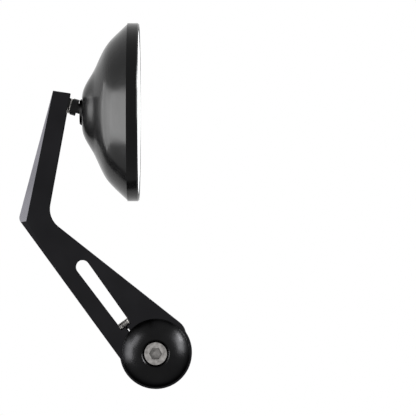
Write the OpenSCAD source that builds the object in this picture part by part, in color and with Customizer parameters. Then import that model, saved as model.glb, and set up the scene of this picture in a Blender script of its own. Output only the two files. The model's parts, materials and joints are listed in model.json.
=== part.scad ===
/* [Clamp ring and arm] */
// Outer diameter of the clamp ring
ring_d = 38.6; // [36:0.5:42]
// Diameter of the collar that the ring clamps
collar_d = 22; // [18:0.5:24]
// Running clearance between a turning piece and its seat, radial
run_gap = 0.05; // [0.02:0.01:0.1]
// Thickness of the arm plate
arm_t = 12.5; // [10:0.5:16]
// Space between the arm and the end of the handlebar
bar_gap = 1; // [0.5:0.1:2]
// Outer elbow corner, distance in front of the bar axis
elbow_reach = 73.6; // [65:0.5:85]
// Outer elbow corner, height above the bar axis
elbow_rise = 71.6; // [65:0.5:85]
// Width of the arm across the elbow
elbow_w = 15.3; // [13:0.2:18]
// Height of the inner elbow corner above the outer one
elbow_step = 0.5; // [0:0.1:1.5]
// Height of the arm tip above the bar axis
tip_rise = 140.4; // [130:0.5:155]
// Lean of the outer edge of the upper arm towards the head, degrees
outer_lean = 15.1; // [13:0.1:17]
// Lean of the inner edge of the upper arm, degrees
inner_lean = 10.4; // [9:0.1:11]
// Slope of the arm tip, degrees
tip_slope = 8.5; // [5:0.5:12]
// Distance of the lower edge line of the arm from the bar axis
lower_edge_off = 17.2; // [15:0.1:18.5]
// Distance of the upper edge line of the arm from the bar axis
upper_edge_off = 20.5; // [19.5:0.1:22]
// Radius of the shoulder where the upper edge runs into the ring
shoulder_r = 9; // [7:0.5:12]
// Radius of the inner elbow
elbow_fillet_r = 12; // [5:0.5:14]
// Radius of the outer elbow
elbow_round_r = 4; // [2:0.5:6]
// Width of the bevel on the outer edge at the elbow
bevel_w = 4.2; // [2:0.1:5]
// Slope of the bevels, degrees
bevel_angle = 40; // [30:1:50]

/* [Slot and pinch screw] */
// Width of the slot at its round end
slot_w = 7.7; // [6:0.1:9]
// Width of the slot at the pinch screw
slot_end_w = 6.4; // [4:0.1:7]
// Width of the slit from the slot into the bore of the ring
slit_w = 1; // [0.6:0.1:1.6]
// Distance of the round end of the slot from the bar axis
slot_reach = 60.2; // [45:0.5:66]
// Slope of the slot below horizontal, degrees
slot_slope = 53.75; // [52:0.25:56]
// Sideways offset of the slot from the bar axis
slot_off = 4.6; // [3:0.1:6]
// Distance of the pinch screw from the bar axis
pinch_reach = 21.7; // [20:0.1:26]
// Thread diameter of the pinch screw
pinch_d = 5; // [4:1:6]
// Length of the pinch screw under its head
pinch_len = 24; // [22:1:25]
// Depth of the pinch screw's counterbore seat below the upper edge line
pinch_seat = 7; // [6:0.5:9]

/* [End cap and cap screw] */
// Diameter of the end cap
cap_d = 36.6; // [34:0.2:37.6]
// Height of the end cap beyond the arm
cap_h = 9.5; // [9:0.5:14]
// Height of the straight rim of the end cap
cap_rim = 2; // [1:0.5:3]
// Diameter of the flat nose of the end cap
nose_d = 16.4; // [15.5:0.1:20]
// Thread diameter of the cap screw
screw_d = 8; // [8:1:8]
// Diameter of the counterbore in the end cap
cbore_d = 13.9; // [13.6:0.1:14.6]
// Depth of the counterbore in the end cap
cbore_depth = 9.6; // [9.3:0.1:12]

/* [Expander in the handlebar] */
// Outer diameter of the expander jaws
jaw_d = 17.5; // [16:0.5:18]
// Length of the expander jaws
jaw_len = 28; // [24:1:36]
// Narrow diameter of the expander cones
cone_tip_d = 10.4; // [10:0.1:11]
// Thickness of the o-rings
oring_t = 1.5; // [1:0.1:2]

/* [Ball joint] */
// Diameter of the ball
ball_d = 11; // [10:0.5:12]
// Diameter of the neck of the ball stud
neck_d = 5.5; // [5:0.1:5.8]
// Thread diameter of the stud
stud_d = 8; // [7:0.5:8]
// Slope of the stud towards the head, degrees
stud_slope = 17; // [14:0.5:18]
// Free length of the stud from the arm to the middle of the ball
stud_free = 12.8; // [12.4:0.1:16]
// Depth of the stud in the arm
stud_depth = 8; // [6:0.5:8.5]
// Diameter of the black sleeve on the stud
boot_d = 8.9; // [8.2:0.1:9.2]
// Wall of the liner round the ball
liner_t = 1.05; // [0.8:0.05:1.2]

/* [Mirror head] */
// Diameter of the head
head_d = 95.6; // [90:0.4:104]
// Height of the arm tip above the head axis
tip_over_axis = 11.4; // [10:0.2:14]
// Depth of the head from its front to the boss
head_depth = 30.1; // [28.9:0.2:33.9]
// Width of the straight rim band
rim_w = 6.2; // [4.5:0.1:7]
// Wall of the shell
shell_t = 2; // [1.6:0.1:2.4]
// Thickness of the glass
glass_t = 2; // [1.6:0.1:2.4]
// Radius of curvature of the convex glass
glass_curve_r = 1200; // [900:100:1600]
// Thickness of the carrier plate
carrier_t = 1.5; // [1.2:0.1:2]
// Thickness of the adhesive pad
pad_t = 0.5; // [0.4:0.1:0.8]

/* [Hidden] */
$fn = 96;
eps = 0.01;
big = 200;
black = [0.09, 0.09, 0.10];
steel = [0.72, 0.72, 0.74];
dark_steel = [0.35, 0.35, 0.37];
nylon = [0.85, 0.85, 0.82];
rubber = [0.05, 0.05, 0.05];

// Arm plate: its outline is drawn in the X and Z of the object, its thickness runs outboard
arm_mid_y = -(bar_gap + arm_t / 2);
arm_face = bar_gap + arm_t;
ring_r = ring_d / 2;
elbow_out = [-elbow_reach, elbow_rise];
elbow_in = elbow_out + [elbow_w, elbow_step];
tip_out = elbow_out + (tip_rise - elbow_rise) * [tan(outer_lean), 1];
// The tip edge and the inner edge meet where two straight lines cross
tip_run = (elbow_in[0] - tip_out[0] + (tip_out[1] - elbow_in[1]) * tan(inner_lean))
    / (1 + tan(tip_slope) * tan(inner_lean));
tip_in = tip_out + tip_run * [1, -tan(tip_slope)];
function tangent_point(p, r, side) = let (a = atan2(p[1], p[0]) + side * acos(r / norm(p)))
    r * [cos(a), sin(a)];
lower_t = tangent_point(elbow_out, lower_edge_off, 1);
upper_t = tangent_point(elbow_in, upper_edge_off, -1);
function unit(v) = v / norm(v);
// Where a round of radius r at the corner v, with arms towards a and b, starts and has its centre
function corner_half(v, a, b) = acos(unit(a - v) * unit(b - v)) / 2;
function corner_point(v, a, b, r) = v + unit(a - v) * r / tan(corner_half(v, a, b));
function corner_centre(v, a, b, r) = v + unit(unit(a - v) + unit(b - v)) * r / sin(corner_half(v, a, b));
shoulder_c = unit(upper_t) * (upper_edge_off - shoulder_r);
slot_u = [cos(slot_slope), -sin(slot_slope)];
slot_n = [-sin(slot_slope), -cos(slot_slope)];
slot_end = slot_off * slot_n - slot_reach * slot_u;
// The wide part of the slot stops behind the pinch screw
slot_stop = slot_off * slot_n - (pinch_reach - 1) * slot_u;
upper_normal = unit(upper_t);

// Pinch screw: it runs square to the slot, its places are measured along -slot_n
pinch_foot = -pinch_reach * slot_u;
pinch_top = (upper_edge_off - pinch_foot * upper_normal) / (-slot_n * upper_normal);
pinch_washer_t = 1;
pinch_seat_s = pinch_top - pinch_seat;
pinch_head_d = 1.7 * pinch_d;
pinch_bore_d = pinch_head_d + 1.5;
pinch_hole_d = pinch_d + 0.5;
thread_gap = 0.05;

// End cap: its places are measured outboard from the end of the handlebar
cap_back = bar_gap + arm_t + 0.3;
cap_nose = cap_back + cap_h;
collar_r = collar_d / 2;
cbore_floor = cap_nose - cbore_depth;
washer_t = 1.2;
screw_head_d = 13;
screw_head_h = 8;
screw_seat = cbore_floor + washer_t;
screw_hole_d = screw_d + 0.5;
hex_af = 6;

// Expander: its places are measured inboard from the end of the handlebar
cone_land = 4;
cone_len = 7;
cone_gap = 0.05;
jaw_start = cone_land + 1;
jaw_end = jaw_start + jaw_len;
cone_land_d = jaw_d - 0.3;
cone_wide_d = cone_land_d - 1;
jaw_slit = 0.8;
relief_depth = 0.6;
relief_gap = 0.2;
rear_start = jaw_end + 1;
rear_end = rear_start + cone_land + 2;

// Head: its places are measured from its front plane towards the boss
head_r = head_d / 2;
ball_depth = 4.2;
ball_z = head_depth - ball_depth;
head_rise = tip_rise - tip_over_axis;
ball_x = elbow_in[0] + stud_free * cos(stud_slope)
    + (head_rise + stud_free * sin(stud_slope) - elbow_in[1]) * tan(inner_lean);
head_front = -ball_x - ball_z;
liner_in_r = ball_d / 2 + run_gap;
liner_out_r = liner_in_r + liner_t;
seat_r = liner_out_r + run_gap;
ring_flange_r = seat_r + 1.8;
ring_neck_r = seat_r + 0.95;
ring_flange_end = ball_z + 2.5;
shell_back = head_depth - 0.1;
chamber_r = ring_flange_r + run_gap;
chamber_wall = 2;
cup_r = ring_flange_r;
cup_back = ball_z - 1.4;
cup_front = ball_z - seat_r - 1.85;
spring_h = 2.4;
spring_front = cup_front - spring_h;
plate_t = 2;
plate_back = spring_front;
plate_front = plate_back - plate_t;
plate_r = 15.5;
post_ring_r = 12.4;
post_r = 3;
post_pilot_d = 2.6;
clamp_len = 8;
rim_in_r = head_r - 1.8;
ledge_r = rim_in_r - 2.2;
glass_edge = 0.4;
glass_back = glass_edge + glass_t;
pad_back = glass_back + pad_t;
ledge_z = pad_back + carrier_t;
glass_r = rim_in_r - 1.1;
carrier_r = rim_in_r - 0.3;
neck_r = neck_d / 2;
// Largest angle between the stud and the head axis that the mouth of the socket leaves free
swing = 24.5;
swing_gap = 0.1;
mouth_angle = swing + asin((neck_r + swing_gap) / seat_r);
ring_proud = 1.8;
lip_rise = ball_depth + ring_proud;
lip_z = ball_z + lip_rise;
lip_r = lip_rise * tan(swing) + (neck_r + swing_gap) / cos(swing);
lip_edge_r = lip_r + 0.5;
// The sleeve ends in a hollow round the ball that stays clear of the lip as the head swings
boot_clear_r = norm([lip_edge_r, lip_rise]) + 0.2;
boot_end = 10.7;
stud_len = stud_free + stud_depth;

// Back of the shell: two curves that meet where the bell turns from crown to flare
function bez(a, b, c, d, t) = pow(1 - t, 3) * a + 3 * pow(1 - t, 2) * t * b
    + 3 * (1 - t) * t * t * c + pow(t, 3) * d;
waist_r = 25;
waist_drop = 7.1;
waist_z = head_depth - waist_drop;
boss_r = ring_neck_r + 1.6;
boss_z = head_depth + 0.45;
crown_start = [head_r - 0.5, rim_w];
crown_in = 11;
crown_rise = 11.5;
crown_corner = [head_r - crown_in, rim_w + crown_rise];
flare_run = 6;
flare_a = [waist_r, waist_z] + flare_run * [-1, 0.42];
flare_b = [boss_r, boss_z] + flare_run * [1, -0.12];
curve_steps = 14;
outer_back = concat(
    [for (i = [0 : curve_steps])
        bez(crown_start, crown_corner, crown_corner, [waist_r, waist_z], i / curve_steps)],
    [for (i = [1 : curve_steps]) bez([waist_r, waist_z], flare_a, flare_b, [boss_r, boss_z], i / curve_steps)]);
last = len(outer_back) - 1;

// Frames
module plate_frame() {
    rotate([90, 0, 0]) children();
}

module head_frame() {
    translate([-head_front, arm_mid_y, head_rise]) rotate([0, -90, 0]) children();
}

// From the ball towards the arm along the stud
module stud_frame() {
    translate([ball_x, arm_mid_y, head_rise]) rotate([0, stud_slope - 90, 0]) children();
}

// Along the pinch screw, from its head down to its tip
module pinch_frame() {
    translate([pinch_foot[0], arm_mid_y, pinch_foot[1]]) rotate([0, slot_slope, 0]) children();
}

// Inboard along the bar axis
module bar_frame() {
    rotate([-90, 0, 0]) children();
}

// Plate of the arm without its bore, slot and bevels
module arm_plate() {
    elbow_fillet_c = corner_centre(elbow_in, tip_in, upper_t, elbow_fillet_r);
    union() {
        linear_extrude(arm_t) polygon([tip_out, tip_in, elbow_in, upper_t, [0, 0], lower_t,
            corner_point(elbow_out, lower_t, tip_out, elbow_round_r),
            corner_point(elbow_out, tip_out, lower_t, elbow_round_r)]);
        cylinder(r = ring_r, h = arm_t);
        translate(shoulder_c) cylinder(r = shoulder_r, h = arm_t);
        translate(corner_centre(elbow_out, tip_out, lower_t, elbow_round_r))
            cylinder(r = elbow_round_r, h = arm_t);
        difference() {
            linear_extrude(arm_t) polygon([elbow_in - [elbow_round_r, 0],
                corner_point(elbow_in, tip_in, upper_t, elbow_fillet_r), elbow_fillet_c,
                corner_point(elbow_in, upper_t, tip_in, elbow_fillet_r)]);
            translate([elbow_fillet_c[0], elbow_fillet_c[1], -1])
                cylinder(r = elbow_fillet_r, h = arm_t + 2);
        }
    }
}

module slot_outline() {
    bore_end = slot_off * slot_n;
    side = slot_n * slot_w / 2;
    stop_side = slot_n * slot_end_w / 2;
    slit_side = slot_n * slit_w / 2;
    translate(slot_end) circle(d = slot_w);
    polygon([slot_end + side, slot_end - side, slot_stop - stop_side, slot_stop - slit_side,
        bore_end - slit_side, bore_end + slit_side, slot_stop + slit_side, slot_stop + stop_side]);
}

// Half space above a sloping plane through the line from a to b on the face of the plate
module bevel_cut(a, b, slope) {
    d = b - a;
    over = 1.6 * arm_t;
    translate([a[0], a[1], arm_t / 2])
        rotate([0, 0, atan2(d[1], d[0])])
            rotate([-slope, 0, 0])
                translate([-over, -over, 0])
                    cube([norm(d) + 2 * over, 3 * over, 2 * over]);
}

module arm_bevels() {
    elbow_face = elbow_out + bevel_w * [1, -0.25];
    lower_end = elbow_out + 0.62 * (lower_t - elbow_out);
    tip_band = 2.4;
    tip_bevel_angle = 15;
    bevel_cut(elbow_face, tip_out, bevel_angle);
    bevel_cut(lower_end, elbow_face, bevel_angle);
    bevel_cut(tip_out - [0, tip_band], tip_in - [0, tip_band], tip_bevel_angle);
}

module arm() {
    color(black) difference() {
        plate_frame() translate([0, 0, arm_face - arm_t / 2]) {
            difference() {
                translate([0, 0, -arm_t / 2]) arm_plate();
                arm_bevels();
                mirror([0, 0, 1]) arm_bevels();
                translate([0, 0, -arm_t]) linear_extrude(2 * arm_t) slot_outline();
                translate([0, 0, -arm_t]) cylinder(r = collar_r + run_gap, h = 2 * arm_t);
            }
        }
        pinch_frame() {
            translate([0, 0, pinch_seat_s]) cylinder(d = pinch_bore_d, h = ring_d);
            translate([0, 0, -slot_off]) cylinder(d = pinch_hole_d, h = pinch_top + slot_off);
            translate([0, 0, -ring_d]) cylinder(d = pinch_d + 2 * thread_gap, h = ring_d - slot_off);
        }
        stud_frame() cylinder(d = stud_d + 2 * thread_gap, h = stud_len + 0.4);
    }
}

// Socket head screw: shank from 0 up to len, head below 0 with a hexagon socket
module socket_screw(d, len, head_d, head_h, af) {
    difference() {
        union() {
            translate([0, 0, -0.2]) cylinder(d = d, h = len + 0.2 - 0.6);
            translate([0, 0, len - 0.6]) cylinder(d1 = d, d2 = d - 1.2, h = 0.6);
            translate([0, 0, -head_h + 0.5]) cylinder(d = head_d, h = head_h - 0.5);
            translate([0, 0, -head_h]) cylinder(d1 = head_d - 1, d2 = head_d, h = 0.5);
        }
        translate([0, 0, -head_h - 1]) cylinder(d = af / cos(30), h = head_h * 0.5 + 1, $fn = 6);
    }
}

module washer(d_out, d_in, t) {
    difference() {
        cylinder(d = d_out, h = t);
        translate([0, 0, -1]) cylinder(d = d_in, h = t + 2);
    }
}

module pinch_screw() {
    color(steel) pinch_frame() translate([0, 0, pinch_seat_s + pinch_washer_t]) rotate([180, 0, 0])
        socket_screw(pinch_d, pinch_len, pinch_head_d, pinch_d, 0.8 * pinch_d);
}

module pinch_washer() {
    color(steel) pinch_frame() translate([0, 0, pinch_seat_s])
        washer(pinch_head_d + 1, pinch_hole_d, pinch_washer_t);
}

module end_cap() {
    cap_r = cap_d / 2;
    nose_r = nose_d / 2;
    chamfer = 0.6;
    edge = 1;
    color(black) rotate([90, 0, 0]) rotate_extrude() difference() {
        union() {
            square([collar_r, cap_back + eps]);
            translate([0, cap_back]) square([cap_r, cap_rim - edge]);
            translate([0, cap_back + cap_rim - edge]) square([cap_r - edge, edge]);
            translate([cap_r - edge, cap_back + cap_rim - edge]) circle(r = edge);
            intersection() {
                translate([0, cap_back + cap_rim - eps]) square([cap_r - edge * 0.3, cap_h - cap_rim + eps]);
                dome_arc(cap_r - edge * 0.3, cap_back + cap_rim, nose_r, cap_nose);
            }
        }
        translate([-1, -1]) square([screw_hole_d / 2 + 1, cap_nose + 2]);
        translate([-1, cbore_floor]) square([cbore_d / 2 + 1, cap_nose]);
        translate([-1, -1]) square([cone_land_d / 2 + relief_gap + 1, relief_depth + 1]);
        polygon([[0, cap_nose - chamfer], [cbore_d / 2, cap_nose - chamfer],
            [cbore_d / 2 + chamfer + 1, cap_nose + 1], [0, cap_nose + 1]]);
        translate([-big, -big / 2]) square([big, big]);
    }
}

// Disc whose edge passes through two points of a dome and whose centre lies on the bar axis side
module dome_arc(r1, z1, r2, z2) {
    lean = 4.6;
    c_r = r2 - lean;
    c_z = (pow(r1 - c_r, 2) - pow(r2 - c_r, 2) + z1 * z1 - z2 * z2) / (2 * (z1 - z2));
    dome_r = norm([r2 - c_r, z2 - c_z]);
    union() {
        translate([c_r, c_z]) circle(r = dome_r);
        square([r2, z2]);
    }
}

module cap_screw() {
    color(steel) translate([0, -screw_seat, 0]) bar_frame()
        socket_screw(screw_d, screw_seat + rear_end + 1, screw_head_d, screw_head_h, hex_af);
}

module cap_washer() {
    color(steel) translate([0, -screw_seat, 0]) bar_frame()
        washer(screw_head_d, screw_hole_d, washer_t);
}

module cone_piece(hole_d) {
    difference() {
        union() {
            cylinder(d = cone_land_d, h = cone_land);
            translate([0, 0, cone_land]) cylinder(d1 = cone_wide_d, d2 = cone_tip_d, h = cone_len);
        }
        translate([0, 0, -1]) cylinder(d = hole_d, h = cone_land + cone_len + 2);
    }
}

// The front cone seats in a shallow relief in the end of the collar
module front_cone() {
    seat_step = 0.6;
    color(dark_steel) bar_frame() union() {
        cone_piece(screw_hole_d);
        translate([0, 0, -relief_depth])
            washer(cone_land_d - 2 * seat_step, screw_hole_d, relief_depth);
    }
}

module rear_cone() {
    color(dark_steel) bar_frame() translate([0, 0, rear_start + cone_land]) mirror([0, 0, 1])
        cone_piece(screw_d + 2 * thread_gap);
}

// One third of the split sleeve, with coned mouths and two o-ring grooves
module expander_jaw(index) {
    mouth = cone_len + 0.5;
    oring_z = [jaw_len / 3, 2 * jaw_len / 3];
    color(steel) bar_frame() rotate([0, 0, index * 120]) intersection() {
        difference() {
            translate([0, 0, jaw_start]) cylinder(d = jaw_d, h = jaw_len);
            cylinder(d = cone_tip_d + 2 * cone_gap, h = jaw_end + 1);
            translate([0, 0, cone_land]) cylinder(d1 = cone_wide_d + 2 * cone_gap,
                d2 = cone_tip_d + 2 * cone_gap, h = cone_len);
            translate([0, 0, rear_start - cone_len]) cylinder(d1 = cone_tip_d + 2 * cone_gap,
                d2 = cone_wide_d + 2 * cone_gap, h = cone_len);
            for (z = oring_z) translate([0, 0, jaw_start + z - oring_t / 2 - 0.1])
                difference() {
                    cylinder(d = jaw_d + 1, h = oring_t + 0.2);
                    translate([0, 0, -1]) cylinder(d = jaw_d - 2 * oring_t - 0.2, h = oring_t + 2.2);
                }
        }
        translate([0, 0, jaw_start - 1]) linear_extrude(jaw_len + 2) difference() {
            polygon([[0, 0], big * [cos(60), -sin(60)] / 4, [big / 2, 0], big * [cos(60), sin(60)] / 4]);
            rotate(60) translate([-1, -jaw_slit / 2]) square([big, jaw_slit]);
            rotate(-60) translate([-1, -jaw_slit / 2]) square([big, jaw_slit]);
        }
    }
}

module o_ring(share) {
    color(rubber) bar_frame() translate([0, 0, jaw_start + share * jaw_len])
        rotate_extrude() translate([jaw_d / 2 - oring_t / 2, 0]) circle(d = oring_t, $fn = 32);
}

module ball_stud() {
    color(steel) stud_frame() {
        sphere(d = ball_d);
        cylinder(d = neck_d, h = boot_end + 0.2);
        translate([0, 0, boot_end]) cylinder(d = stud_d, h = stud_len - boot_end);
    }
}

module stud_boot() {
    color(rubber) stud_frame() difference() {
        cylinder(d = boot_d, h = boot_end);
        sphere(r = boot_clear_r);
        translate([0, 0, -1]) cylinder(d = neck_d + 2 * thread_gap, h = boot_end + 2);
    }
}

module ball_liner() {
    color(nylon) stud_frame() difference() {
        sphere(r = liner_out_r);
        sphere(r = liner_in_r);
        cylinder(h = 2 * liner_out_r, r1 = 0, r2 = 2 * liner_out_r * tan(mouth_angle));
        translate([0, 0, -2 * liner_out_r]) cylinder(h = 2 * liner_out_r, r = 0.45 * liner_in_r);
    }
}

module pressure_cup() {
    color(nylon) head_frame() difference() {
        translate([0, 0, cup_front]) cylinder(r = cup_r, h = cup_back - cup_front);
        translate([0, 0, ball_z]) sphere(r = seat_r);
    }
}

module socket_ring() {
    mouth_r = seat_r * sin(mouth_angle);
    mouth_z = ball_z + seat_r * cos(mouth_angle);
    color(black) head_frame() difference() {
        union() {
            translate([0, 0, cup_back + 0.4]) cylinder(r = ring_flange_r, h = ring_flange_end - cup_back - 0.4);
            translate([0, 0, ball_z]) cylinder(r = ring_neck_r, h = shell_back - ball_z);
            translate([0, 0, shell_back]) cylinder(r1 = ring_neck_r, r2 = lip_edge_r, h = lip_z - shell_back);
        }
        translate([0, 0, ball_z]) sphere(r = seat_r);
        translate([0, 0, cup_back - 1]) cylinder(r = seat_r, h = ball_z - cup_back + 1);
        translate([0, 0, mouth_z - eps]) cylinder(r1 = mouth_r, r2 = lip_r, h = lip_z - mouth_z + 2 * eps);
    }
}

module head_housing() {
    edge = 0.7;
    color(black) head_frame() difference() {
        union() {
            rotate_extrude() difference() {
                polygon(concat([[0, 0], [head_r - edge, 0], [head_r, edge], [head_r, rim_w]], outer_back,
                    [[boss_r - 1.6, shell_back], [0, shell_back]]));
                polygon(concat([[0, -1], [rim_in_r, -1], [rim_in_r, ledge_z], [ledge_r, ledge_z]],
                    inner_shell(), [[0, ring_flange_end]]));
            }
            translate([0, 0, plate_back])
                cylinder(r = chamber_r + chamber_wall, h = ring_flange_end - plate_back + eps);
            for (i = [0 : 2]) rotate([0, 0, 60 + i * 120]) translate([post_ring_r, 0, plate_back])
                cylinder(r = post_r, h = shell_back - shell_t - 1.5 - plate_back);
        }
        translate([0, 0, -1]) cylinder(r = chamber_r, h = ring_flange_end + 1);
        translate([0, 0, -1]) cylinder(r = ring_neck_r + run_gap, h = head_depth + 5);
        for (i = [0 : 2]) rotate([0, 0, 60 + i * 120]) translate([post_ring_r, 0, plate_back - 1])
            cylinder(d = post_pilot_d + 0.4 + 2 * thread_gap, h = clamp_len);
    }
}

// Inside of the shell: the outside curve moved in by the wall
function inner_shell() = [for (p = [for (i = [0 : last])
        let (a = outer_back[max(0, i - 1)], b = outer_back[min(last, i + 1)], d = unit(b - a))
        outer_back[i] + shell_t * [-d[1], d[0]]])
    if (p[0] < ledge_r && p[1] > ledge_z && p[1] < ring_flange_end) p];

module disc_spring() {
    t = 0.9;
    r_out = cup_r - 0.2;
    r_in = 4;
    color(steel) head_frame() rotate_extrude()
        polygon([[r_in, cup_front - 0.05], [r_out, spring_front + t], [r_out, spring_front],
            [r_in, cup_front - 0.05 - t]]);
}

module clamp_plate() {
    color(dark_steel) head_frame() difference() {
        translate([0, 0, plate_front]) cylinder(r = plate_r, h = plate_t);
        translate([0, 0, plate_front - 1]) cylinder(r = 3, h = plate_t + 2);
        for (i = [0 : 2]) rotate([0, 0, 60 + i * 120]) translate([post_ring_r, 0, plate_front - 1])
            cylinder(d = 3.4, h = plate_t + 2);
    }
}

module clamp_screw(index) {
    head_w = 5.5;
    head_h = 1.8;
    color(steel) head_frame() rotate([0, 0, 60 + index * 120]) translate([post_ring_r, 0, plate_front]) {
        difference() {
            translate([0, 0, -head_h]) cylinder(d = head_w, h = head_h);
            translate([0, 0, -head_h - 1]) cylinder(d = 2 / cos(30), h = 2, $fn = 6);
        }
        translate([0, 0, -0.2]) cylinder(d = 3, h = plate_t + clamp_len - 1.5);
    }
}

module glass_carrier() {
    color(dark_steel) head_frame() translate([0, 0, pad_back]) cylinder(r = carrier_r, h = carrier_t);
}

module adhesive_pad() {
    color(rubber) head_frame() translate([0, 0, glass_back]) cylinder(r = glass_r - 1, h = pad_t);
}

module rim_gasket() {
    color(rubber) head_frame() translate([0, 0, glass_edge - 0.3]) difference() {
        cylinder(r = rim_in_r - 0.1, h = pad_back - glass_edge + 0.3);
        translate([0, 0, -1]) cylinder(r = glass_r + 0.1, h = big);
    }
}

module mirror_glass() {
    steps = 10;
    sag = glass_curve_r - sqrt(pow(glass_curve_r, 2) - pow(glass_r, 2));
    face = [for (i = [steps : -1 : 0]) let (r = glass_r * i / steps)
        [r, glass_edge - sag + glass_curve_r - sqrt(pow(glass_curve_r, 2) - r * r)]];
    color([0.85, 0.87, 0.9]) head_frame() rotate_extrude()
        polygon(concat([[0, glass_back], [glass_r, glass_back]], face));
}

arm();
pinch_screw();
pinch_washer();
end_cap();
cap_screw();
cap_washer();
front_cone();
expander_jaw(0);  // expander_jaw_1
expander_jaw(1);  // expander_jaw_2
expander_jaw(2);  // expander_jaw_3
o_ring(1 / 3);  // o_ring_outboard
o_ring(2 / 3);  // o_ring_inboard
rear_cone();
ball_stud();
stud_boot();
ball_liner();
pressure_cup();
socket_ring();
head_housing();
disc_spring();
clamp_plate();
clamp_screw(0);  // clamp_screw_1
clamp_screw(1);  // clamp_screw_2
clamp_screw(2);  // clamp_screw_3
glass_carrier();
adhesive_pad();
rim_gasket();
mirror_glass();
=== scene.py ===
"""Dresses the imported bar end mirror: finishes, screw threads, studio light and the photograph's camera."""
import json
import math

import bmesh
import bpy
from mathutils import Matrix, Vector


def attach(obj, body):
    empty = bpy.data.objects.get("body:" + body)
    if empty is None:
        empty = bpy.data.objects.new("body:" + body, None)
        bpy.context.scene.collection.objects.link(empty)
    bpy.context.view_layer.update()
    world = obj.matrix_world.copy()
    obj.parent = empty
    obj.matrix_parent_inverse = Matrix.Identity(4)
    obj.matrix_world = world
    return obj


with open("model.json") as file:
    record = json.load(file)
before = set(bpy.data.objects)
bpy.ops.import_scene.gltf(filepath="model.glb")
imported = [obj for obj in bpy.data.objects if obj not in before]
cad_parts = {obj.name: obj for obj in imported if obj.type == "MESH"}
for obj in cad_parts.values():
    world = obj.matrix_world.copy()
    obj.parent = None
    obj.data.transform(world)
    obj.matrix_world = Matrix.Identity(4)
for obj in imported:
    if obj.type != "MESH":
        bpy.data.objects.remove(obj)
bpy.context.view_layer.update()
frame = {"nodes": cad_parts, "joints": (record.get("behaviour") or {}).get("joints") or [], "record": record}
nodes = frame["nodes"]
joints = {j["name"]: j for j in frame["joints"]}

# Camera: level, looking along the bar axis; the view is this wide at the stated distance
CAMERA_PLACE = (0.0279, -2.0135, 0.0776)
SENSOR = 36.0
VIEW_WIDTH = 0.2226
VIEW_DISTANCE = 2.0

# Lamps stand round this point; azimuth runs from the camera side to the left, all angles in degrees
LAMP_CENTRE = (-0.02, 0.0, 0.11)
LAMP_DISTANCE = 1.0
# Azimuth, elevation, width, height, radiance
LAMPS = {
    "left_front": (75.0, -6.5, 22.0, 47.0, 19.0),
    "left_middle": (91.0, -6.5, 10.0, 47.0, 17.0),
    "left_back": (102.0, -6.5, 12.0, 47.0, 10.0),
    "left_last": (116.0, -6.5, 16.0, 47.0, 5.0),
    "left_high": (62.0, 23.0, 24.0, 26.0, 12.0),
    "right_high": (-74.0, 13.0, 28.0, 34.0, 19.0),
    "right_back": (-89.0, 27.0, 16.0, 20.0, 36.0),
}
AMBIENT = 0.2

# Finishes
NOISE_RANGE = (0.3, 0.7)
PATCH_SCALE = 180.0
BUMP_DEPTH = 0.0001
HAZE_ROUGHNESS = 0.45
HAZE_IOR = 1.25
GRAZING_SPAN = 0.15
BROKEN_EDGE = 0.00025

# Threads
STUD_SLOPE = math.radians(17.0)
STUD_THREAD = dict(start=0.0108, end=0.0127, root=0.0039, crest=0.0042, pitch=0.00125)
PINCH_SLOPE = math.radians(53.75)
PINCH_CROSSING = (-0.01655, 0.01476)
PINCH_THREAD = dict(start=-0.0032, end=0.0032, root=0.00245, crest=0.0027, pitch=0.0008)

# Ground
FLOOR_Z = -0.25
FLOOR_SIZE = 3.0
FLOOR_COLOUR = (0.6, 0.6, 0.6, 1.0)
FLOOR_GLOW = 0.92
WHITE = (1.0, 1.0, 1.0, 1.0)


def node_tree(name):
    """A new material and its node tree, holding only the output and a Principled shader."""
    mat = bpy.data.materials.new(name)
    mat.use_nodes = True
    tree = mat.node_tree
    return mat, tree, tree.nodes["Principled BSDF"]


def noise(tree, coords, scale, detail=3.0, stretch=(1.0, 1.0, 1.0)):
    """Noise in metres-based object coordinates; returns its factor socket."""
    mapping = tree.nodes.new("ShaderNodeMapping")
    mapping.inputs["Scale"].default_value = stretch
    tree.links.new(coords, mapping.inputs["Vector"])
    node = tree.nodes.new("ShaderNodeTexNoise")
    node.inputs["Scale"].default_value = scale
    node.inputs["Detail"].default_value = detail
    tree.links.new(mapping.outputs["Vector"], node.inputs["Vector"])
    return node.outputs["Fac"]


def remap(tree, source, low, high):
    """Spreads a noise factor, which lies mostly within NOISE_RANGE, over low to high."""
    node = tree.nodes.new("ShaderNodeMapRange")
    node.inputs["From Min"].default_value = NOISE_RANGE[0]
    node.inputs["From Max"].default_value = NOISE_RANGE[1]
    node.inputs["To Min"].default_value = low
    node.inputs["To Max"].default_value = high
    tree.links.new(source, node.inputs["Value"])
    return node.outputs["Result"]


def blend_colours(tree, factor, dark, light):
    node = tree.nodes.new("ShaderNodeMix")
    node.data_type = "RGBA"
    node.inputs[6].default_value = (*dark, 1.0)
    node.inputs[7].default_value = (*light, 1.0)
    tree.links.new(factor, node.inputs[0])
    return node.outputs[2]


def paint_recess_shade(tree, tone, reach):
    """Painted shade: multiplies a colour by how open the surface is within reach, so recesses are painted
    darker.
    """
    openness = tree.nodes.new("ShaderNodeAmbientOcclusion")
    openness.inputs["Distance"].default_value = reach
    tree.links.new(tone, openness.inputs["Color"])
    return openness.outputs["Color"]


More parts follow.
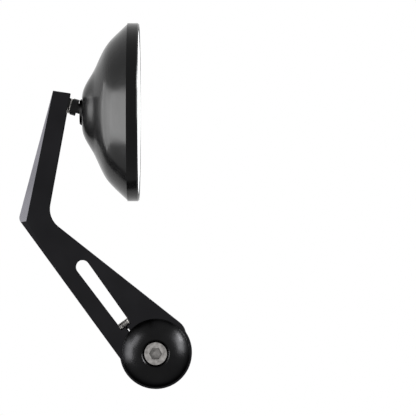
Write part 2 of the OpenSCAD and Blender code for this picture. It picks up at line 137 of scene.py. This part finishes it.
def dull_at_grazing(tree, rough, start):
    """Raises the roughness where the surface is seen nearly edge on, as on a matt anodised wall."""
    facing = tree.nodes.new("ShaderNodeLayerWeight")
    facing.inputs["Blend"].default_value = 0.5
    share = tree.nodes.new("ShaderNodeMapRange")
    share.inputs["From Min"].default_value = start
    share.inputs["From Max"].default_value = min(1.0, start + GRAZING_SPAN)
    tree.links.new(facing.outputs["Facing"], share.inputs["Value"])
    raised = tree.nodes.new("ShaderNodeMath")
    raised.operation = "MAXIMUM"
    tree.links.new(rough, raised.inputs[0])
    tree.links.new(share.outputs["Result"], raised.inputs[1])
    return raised.outputs[0]


def finish_material(name, colour, rough, metal=0.0, specular=0.5, spread=0.12, rough_spread=0.05,
                    grain=3500.0, bump=0.05, stretch=(1.0, 1.0, 1.0), rim=1.0, cloud=60.0,
                    recess_shade_reach=0.0, edge_dull=0.0, haze=0.0):
    """One surface finish: cloudy colour, uneven roughness and a fine grain in the bump.

    rim tints the gloss at the edge of a metal, the recess reach sets how far painted shade darkens recesses,
    edge_dull is where the grazing roughness starts and haze adds a second, broad gloss.
    """
    mat, tree, shader = node_tree(name)
    coords = tree.nodes.new("ShaderNodeTexCoord").outputs["Object"]
    clouds = noise(tree, coords, cloud, 4.0)
    dark = [c * (1.0 - spread) for c in colour]
    light = [min(1.0, c * (1.0 + spread)) for c in colour]
    tone = blend_colours(tree, remap(tree, clouds, 0.0, 1.0), dark, light)
    # Painted shade: darkens the colour in recesses.
    if recess_shade_reach:
        tone = paint_recess_shade(tree, tone, recess_shade_reach)
    tree.links.new(tone, shader.inputs["Base Color"])
    patches = noise(tree, coords, PATCH_SCALE, 2.0)
    gloss = remap(tree, patches, rough - rough_spread, rough + rough_spread)
    if edge_dull:
        gloss = dull_at_grazing(tree, gloss, edge_dull)
    tree.links.new(gloss, shader.inputs["Roughness"])
    grain_bump = tree.nodes.new("ShaderNodeBump")
    grain_bump.inputs["Strength"].default_value = bump
    grain_bump.inputs["Distance"].default_value = BUMP_DEPTH
    tree.links.new(noise(tree, coords, grain, 2.0, stretch), grain_bump.inputs["Height"])
    tree.links.new(grain_bump.outputs["Normal"], shader.inputs["Normal"])
    shader.inputs["Metallic"].default_value = metal
    shader.inputs["Specular IOR Level"].default_value = specular
    shader.inputs["Specular Tint"].default_value = (rim, rim, rim, 1.0)
    shader.inputs["Coat Weight"].default_value = haze
    shader.inputs["Coat Roughness"].default_value = HAZE_ROUGHNESS
    shader.inputs["Coat IOR"].default_value = HAZE_IOR
    return mat


def glass_material():
    """Silvered convex glass, clean, with the faintest unevenness in tone and gloss."""
    mat, tree, shader = node_tree("mirror_glass")
    coords = tree.nodes.new("ShaderNodeTexCoord").outputs["Object"]
    haze = noise(tree, coords, 40.0, 2.0)
    colour = blend_colours(tree, haze, (0.70, 0.71, 0.72), (0.74, 0.75, 0.76))
    tree.links.new(colour, shader.inputs["Base Color"])
    gloss = dull_at_grazing(tree, remap(tree, haze, 0.015, 0.03), 0.85)
    tree.links.new(gloss, shader.inputs["Roughness"])
    shader.inputs["Metallic"].default_value = 1.0
    shader.inputs["Specular Tint"].default_value = (0.6, 0.6, 0.6, 1.0)
    return mat


def make_materials():
    across = (0.06, 1.0, 1.0)
    return {
        "arm": finish_material("arm_anodised", (0.0152, 0.0150, 0.0164), 0.17, metal=1.0, bump=0.06,
                               rim=0.03, rough_spread=0.03, edge_dull=0.75),
        "cap": finish_material("cap_anodised", (0.0105, 0.0105, 0.0109), 0.29, metal=1.0, rim=0.10,
                               stretch=(1.0, 0.2, 1.0)),
        "shell": finish_material("shell_anodised", (0.0006, 0.0006, 0.0007), 0.18, specular=0.080, bump=0.03,
                                 stretch=across, haze=0.25),
        "socket": finish_material("socket_black", (0.0030, 0.0030, 0.0030), 0.30, metal=1.0, rim=0.05,
                                  edge_dull=0.7),
        "sleeve": finish_material("sleeve_rubber", (0.006, 0.006, 0.006), 0.40, specular=0.12, bump=0.8,
                                  grain=1200.0),
        "stud": finish_material("stud_black_steel", (0.020, 0.020, 0.020), 0.30, metal=1.0, bump=0.1,
                                rim=0.05, edge_dull=0.7),
        "thread": finish_material("thread_bright", (0.75, 0.73, 0.70), 0.30, metal=1.0, bump=0.3),
        # The turned stainless parts get painted shade in their recesses, such as the hex socket.
        "stainless": finish_material("stainless_turned", (0.28, 0.27, 0.262), 0.15, metal=1.0, bump=0.8,
                                     grain=900.0, spread=0.35, cloud=600.0, recess_shade_reach=0.0038),
        "cone": finish_material("cone_zinc", (0.40, 0.40, 0.42), 0.38, metal=1.0, bump=0.1),
        "jaw": finish_material("jaw_turned", (0.60, 0.60, 0.62), 0.34, metal=1.0, bump=0.2,
                               stretch=(1.0, 6.0, 1.0)),
        "seal": finish_material("seal_rubber", (0.012, 0.012, 0.012), 0.6, specular=0.3, bump=0.2),
        "nylon": finish_material("nylon_natural", (0.78, 0.76, 0.68), 0.45, specular=0.4),
        "spring": finish_material("spring_steel", (0.35, 0.34, 0.33), 0.3, metal=1.0),
        "plate": finish_material("plate_zinc", (0.45, 0.45, 0.47), 0.4, metal=1.0, bump=0.15),
        "carrier": finish_material("carrier_moulded", (0.02, 0.02, 0.02), 0.5, bump=0.3),
        "pad": finish_material("pad_foam", (0.05, 0.05, 0.05), 0.9, specular=0.2, bump=0.5,
                               grain=1500.0),
        "glass": glass_material(),
    }


def dress_nodes(materials):
    for part in frame["record"]["subparts"]:
        obj = nodes[part["node"]]
        obj.data.materials.clear()
        obj.data.materials.append(materials[part["material_slot"]])


def soften_edges(name, width, segments=2, angle=35.0):
    """Breaks the sharp edges of a machined node, as a deburred part has them."""
    bevel = nodes[name].modifiers.new("broken_edges", "BEVEL")
    bevel.width = width
    bevel.segments = segments
    bevel.limit_method = "ANGLE"
    bevel.angle_limit = math.radians(angle)
    bevel.harden_normals = True


def add_piece(name, mesh, material, body):
    obj = bpy.data.objects.new(name, mesh)
    bpy.context.scene.collection.objects.link(obj)
    obj.data.materials.append(material)
    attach(obj, body)
    return obj


def thread_mesh(name, place, start, end, root, crest, pitch, around=48, per_turn=8):
    """A closed tube with a helical V thread outside; place carries its z axis to the screw's."""
    bm = bmesh.new()
    rows = max(2, round((end - start) / pitch * per_turn))
    inner = root * 0.9
    rings = []
    for i in range(rows + 1):
        z = start + (end - start) * i / rows
        fade = min(1.0, 4.0 * min(i, rows - i) / rows + 0.15)
        ring = []
        for k in range(around):
            turn = k / around
            phase = (z / pitch - turn) % 1.0
            ridge = 1.0 - abs(2.0 * phase - 1.0)
            r = root + (crest - root) * ridge * fade
            angle = 2.0 * math.pi * turn
            point = Vector((r * math.cos(angle), r * math.sin(angle), z))
            ring.append(bm.verts.new(place @ point))
        rings.append(ring)
    for z in (end, start):
        ring = []
        for k in range(around):
            angle = 2.0 * math.pi * k / around
            point = Vector((inner * math.cos(angle), inner * math.sin(angle), z))
            ring.append(bm.verts.new(place @ point))
        rings.append(ring)
    for a, b in zip(rings, rings[1:] + rings[:1]):
        for k in range(around):
            bm.faces.new((a[k], a[(k + 1) % around], b[(k + 1) % around], b[k]))
    bmesh.ops.recalc_face_normals(bm, faces=bm.faces)
    mesh = bpy.data.meshes.new(name)
    bm.to_mesh(mesh)
    bm.free()
    return mesh


def add_threads(materials):
    ball = Vector(joints["head_pitch"]["pos_m"])
    stud = Matrix.Translation(ball) @ Matrix.Rotation(STUD_SLOPE - math.pi / 2, 4, "Y")
    mesh = thread_mesh("stud_thread", stud, **STUD_THREAD)
    add_piece("stud_thread", mesh, materials["thread"], "arm")
    crossing = Vector((PINCH_CROSSING[0], ball.y, PINCH_CROSSING[1]))
    pinch = Matrix.Translation(crossing) @ Matrix.Rotation(PINCH_SLOPE, 4, "Y")
    mesh = thread_mesh("pinch_thread", pinch, **PINCH_THREAD)
    add_piece("pinch_thread", mesh, materials["thread"], "arm")


def seen_rays(tree):
    """1 for rays from the camera, from a reflection and through glass, which see the white ground."""
    path = tree.nodes.new("ShaderNodeLightPath")
    total = path.outputs["Is Camera Ray"]
    for name in ("Is Glossy Ray", "Is Transmission Ray"):
        node = tree.nodes.new("ShaderNodeMath")
        node.operation = "MAXIMUM"
        tree.links.new(total, node.inputs[0])
        tree.links.new(path.outputs[name], node.inputs[1])
        total = node.outputs[0]
    return total


def make_world():
    world = bpy.data.worlds.new("studio")
    bpy.context.scene.world = world
    world.use_nodes = True
    tree = world.node_tree
    ambient = tree.nodes["Background"]
    ambient.inputs["Color"].default_value = WHITE
    ambient.inputs["Strength"].default_value = AMBIENT
    white = tree.nodes.new("ShaderNodeBackground")
    white.inputs["Color"].default_value = WHITE
    white.inputs["Strength"].default_value = 1.0
    mix = tree.nodes.new("ShaderNodeMixShader")
    tree.links.new(seen_rays(tree), mix.inputs[0])
    tree.links.new(ambient.outputs[0], mix.inputs[1])
    tree.links.new(white.outputs[0], mix.inputs[2])
    tree.links.new(mix.outputs[0], tree.nodes["World Output"].inputs["Surface"])


def make_floor():
    bm = bmesh.new()
    bmesh.ops.create_grid(bm, x_segments=1, y_segments=1, size=FLOOR_SIZE / 2,
                          matrix=Matrix.Translation((0.0, 0.0, FLOOR_Z)))
    mesh = bpy.data.meshes.new("floor")
    bm.to_mesh(mesh)
    bm.free()
    floor = bpy.data.objects.new("floor", mesh)
    bpy.context.scene.collection.objects.link(floor)
    mat, tree, shader = node_tree("floor_pale")
    shader.inputs["Base Color"].default_value = FLOOR_COLOUR
    shader.inputs["Roughness"].default_value = 0.9
    shader.inputs["Specular IOR Level"].default_value = 0.0
    glow = tree.nodes.new("ShaderNodeEmission")
    glow.inputs["Strength"].default_value = 1.0
    share = tree.nodes.new("ShaderNodeMath")
    share.operation = "MULTIPLY"
    share.inputs[1].default_value = FLOOR_GLOW
    tree.links.new(seen_rays(tree), share.inputs[0])
    mix = tree.nodes.new("ShaderNodeMixShader")
    tree.links.new(share.outputs[0], mix.inputs[0])
    tree.links.new(shader.outputs[0], mix.inputs[1])
    tree.links.new(glow.outputs[0], mix.inputs[2])
    tree.links.new(mix.outputs[0], tree.nodes["Material Output"].inputs["Surface"])
    mesh.materials.append(mat)


def make_lamps():
    for name, (azimuth, elevation, width, height, radiance) in LAMPS.items():
        lamp = bpy.data.lights.new(name, "AREA")
        lamp.shape = "RECTANGLE"
        lamp.size = 2.0 * LAMP_DISTANCE * math.tan(math.radians(width / 2))
        lamp.size_y = 2.0 * LAMP_DISTANCE * math.tan(math.radians(height / 2))
        lamp.energy = radiance * math.pi * lamp.size * lamp.size_y
        obj = bpy.data.objects.new(name, lamp)
        bpy.context.scene.collection.objects.link(obj)
        side, lift = math.radians(azimuth), math.radians(elevation)
        level = math.cos(lift)
        way = Vector((-math.sin(side) * level, -math.cos(side) * level, math.sin(lift)))
        obj.location = Vector(LAMP_CENTRE) + LAMP_DISTANCE * way
        obj.rotation_euler = (-way).to_track_quat("-Z", "Y").to_euler()


def make_camera():
    camera = bpy.data.cameras.new("camera")
    camera.sensor_width = SENSOR
    camera.lens = SENSOR * VIEW_DISTANCE / VIEW_WIDTH
    obj = bpy.data.objects.new("camera", camera)
    bpy.context.scene.collection.objects.link(obj)
    obj.location = CAMERA_PLACE
    obj.rotation_euler = (math.pi / 2, 0.0, 0.0)
    bpy.context.scene.camera = obj


make_camera()
finishes = make_materials()
dress_nodes(finishes)
add_threads(finishes)
for machined in ("arm", "end_cap", "head_housing"):
    soften_edges(machined, BROKEN_EDGE)
make_world()
make_floor()
make_lamps()
bpy.context.scene.view_settings.view_transform = "Standard"
